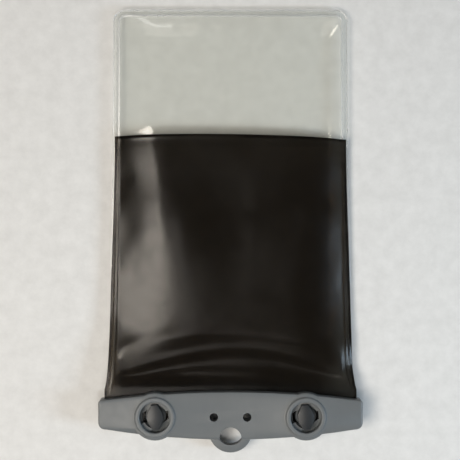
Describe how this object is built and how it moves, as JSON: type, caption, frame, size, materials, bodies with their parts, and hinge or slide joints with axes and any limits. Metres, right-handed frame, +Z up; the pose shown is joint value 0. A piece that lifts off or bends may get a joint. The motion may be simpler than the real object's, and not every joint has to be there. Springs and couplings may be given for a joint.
{
  "type": "waterproof phone pouch",
  "caption": "Flat see-through pouch of welded plastic film, closed at its mouth by a clamping clip with turn levers, that keeps a phone dry.",
  "frame": {"origin": "centre of the bounding box's base, on the surface that the pouch lies on", "axes": "+Z up, out of the pouch's back; +Y from the clip to the pouch's far end; +X to the right, along the clip"},
  "size_m": [0.14, 0.2374, 0.0167],
  "materials": {
    "clear_film": "gloss",
    "tinted_film": "gloss",
    "clip_plastic": "satin",
    "seal_rubber": "matte",
    "lever_plastic": "satin"
  },
  "bodies": {
    "pouch": {"rear_jaw": "clip_plastic", "front_film": "clear_film", "rear_window": "clear_film", "rear_panel": "tinted_film"},
    "front_clamp": {"front_jaw": "clip_plastic", "seal_strip": "seal_rubber"},
    "left_lever_body": {"left_lever": "lever_plastic", "left_cam_lug": "lever_plastic"},
    "right_lever_body": {"right_lever": "lever_plastic", "right_cam_lug": "lever_plastic"}
  },
  "joints": [
    {"name": "clamp_slide", "type": "slide", "parent": "pouch", "child": "front_clamp", "axis": [0, 0, -1], "range_m": [0, 0.002]},
    {"name": "left_lever_turn", "type": "hinge", "parent": "front_clamp", "child": "left_lever_body", "pos_m": [-0.0399, -0.09885, 0.0082], "axis": [0, 0, 1], "range_deg": [0, 90]},
    {"name": "right_lever_turn", "type": "hinge", "parent": "front_clamp", "child": "right_lever_body", "pos_m": [0.0399, -0.09885, 0.0082], "axis": [0, 0, 1], "range_deg": [0, 90]}
  ],
  "couplings": [
    {"joint": "left_lever_turn", "follows": "clamp_slide", "rad_per_m": 785.39},
    {"joint": "right_lever_turn", "follows": "clamp_slide", "rad_per_m": 785.39}
  ]
}
